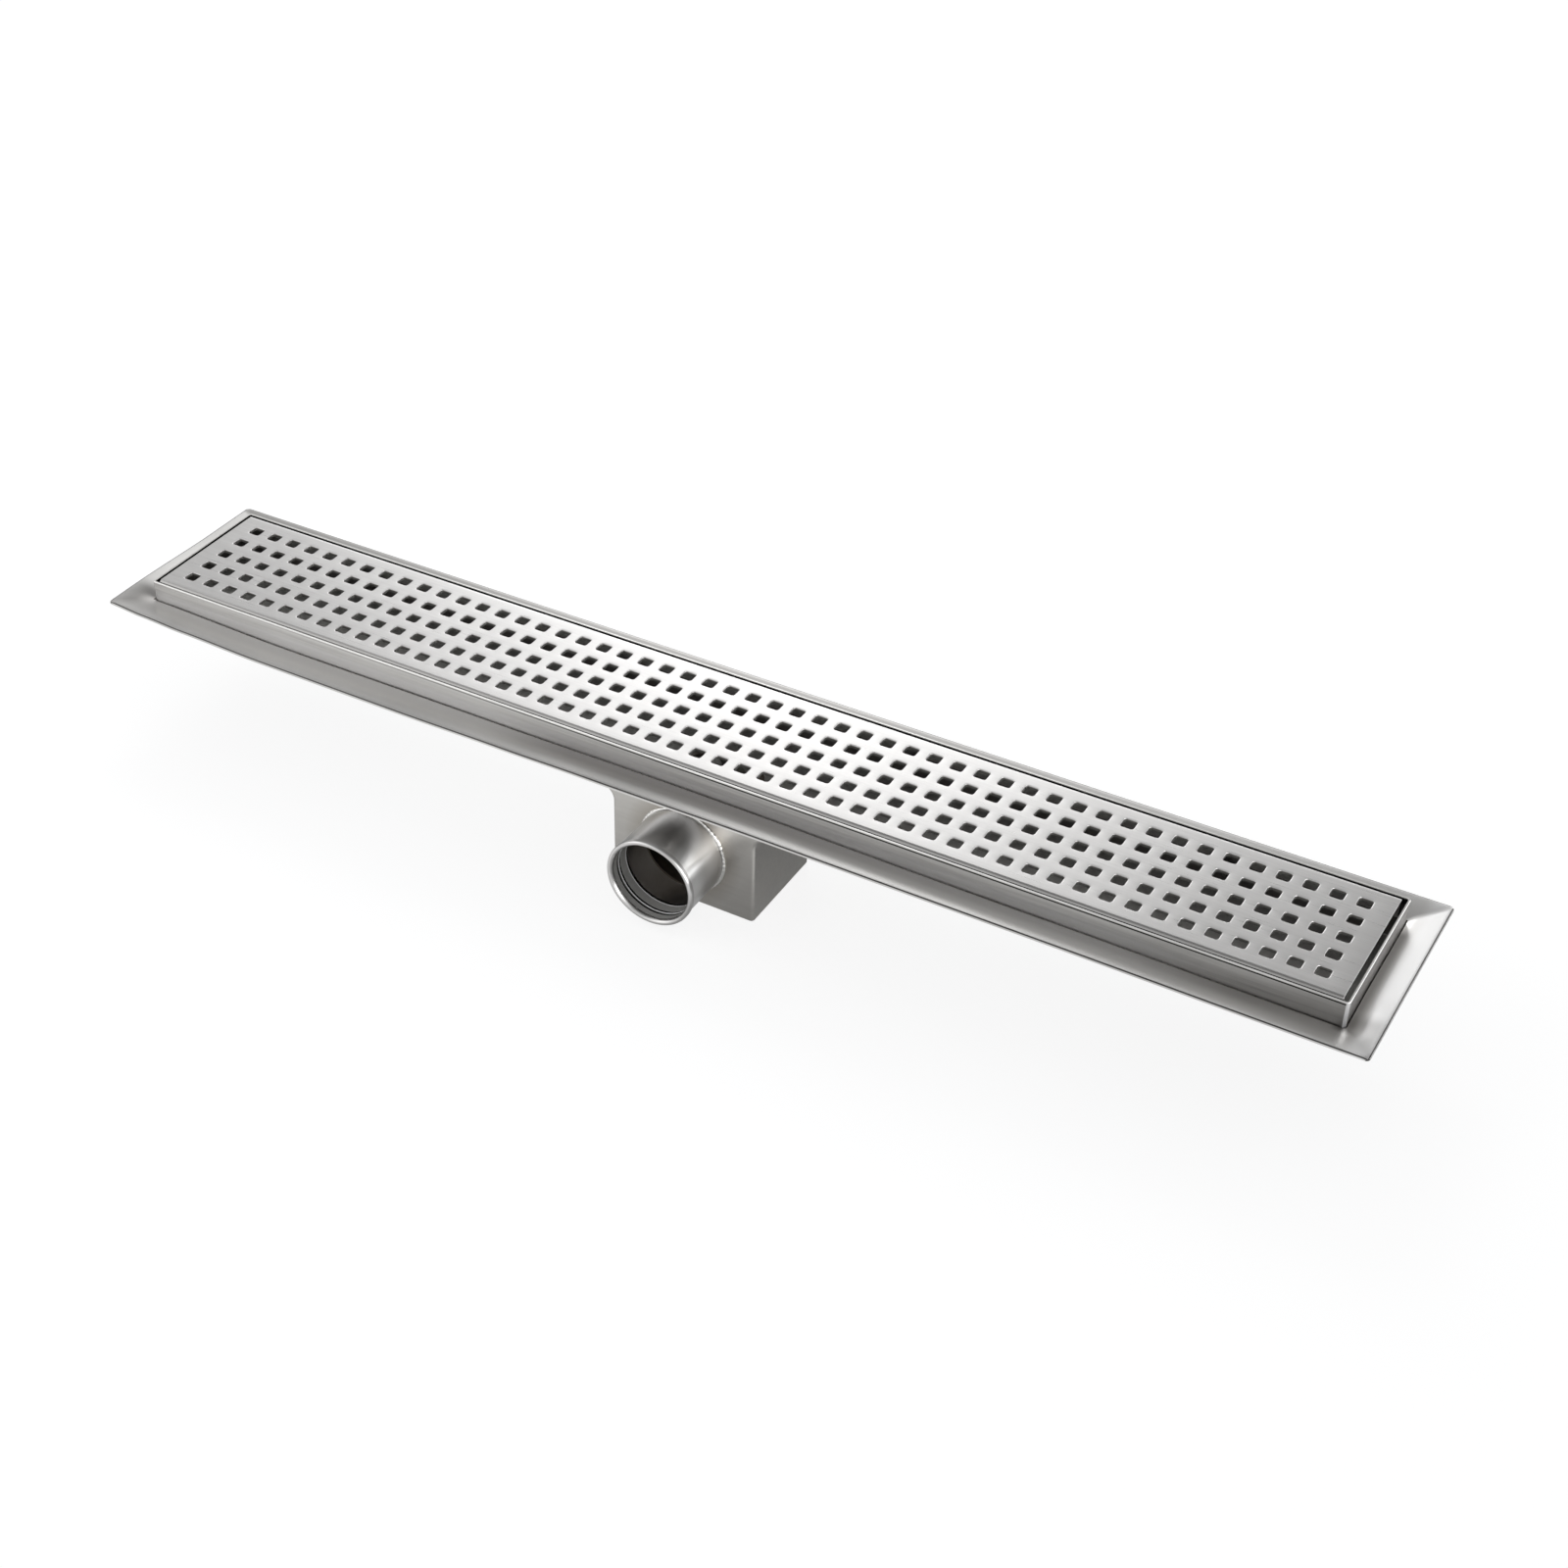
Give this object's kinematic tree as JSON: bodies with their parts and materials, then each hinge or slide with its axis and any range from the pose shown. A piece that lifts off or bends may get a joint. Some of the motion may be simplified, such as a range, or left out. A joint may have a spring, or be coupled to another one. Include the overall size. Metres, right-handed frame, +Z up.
{
  "type": "linear shower drain",
  "caption": "Long stainless shower drain: perforated flat cover in a channel with a dished sealing collar, over a trap box with a round side outlet.",
  "frame": {"origin": "on the centre lines of the cover, level with the underside of the trap box", "axes": "+X along the channel, +Y away from the outlet, +Z up"},
  "size_m": [0.7404, 0.1412, 0.0845],
  "materials": {
    "cover_steel": "brushed along its length",
    "channel_steel": "brushed along its length",
    "collar_steel": "fine brushed",
    "box_steel": "satin mill finish",
    "pipe_steel": "satin, brushed round",
    "weld_steel": "bright weld bead",
    "inner_steel": "plain mill finish",
    "trap_plastic": "moulded black",
    "rubber": "moulded"
  },
  "bodies": {
    "root": {"cover": "cover_steel", "channel": "channel_steel", "collar": "collar_steel", "trap_box": "box_steel", "outlet_pipe": "pipe_steel", "outlet_weld": "weld_steel", "outlet_seal": "rubber", "seat_ring": "channel_steel", "drop_tube": "trap_plastic", "tube_oring": "rubber", "trap_cup": "trap_plastic", "hair_strainer": "inner_steel", "strainer_knob": "inner_steel", "cover_rest_back_1": "inner_steel", "cover_rest_front_1": "inner_steel", "cover_rest_back_2": "inner_steel", "cover_rest_front_2": "inner_steel", "cover_rest_back_3": "inner_steel", "cover_rest_front_3": "inner_steel", "cover_rest_back_4": "inner_steel", "cover_rest_front_4": "inner_steel", "rest_pad_back_1": "rubber", "rest_pad_front_1": "rubber", "rest_pad_back_2": "rubber", "rest_pad_front_2": "rubber", "rest_pad_back_3": "rubber", "rest_pad_front_3": "rubber", "rest_pad_back_4": "rubber", "rest_pad_front_4": "rubber"}
  },
  "joints": []
}
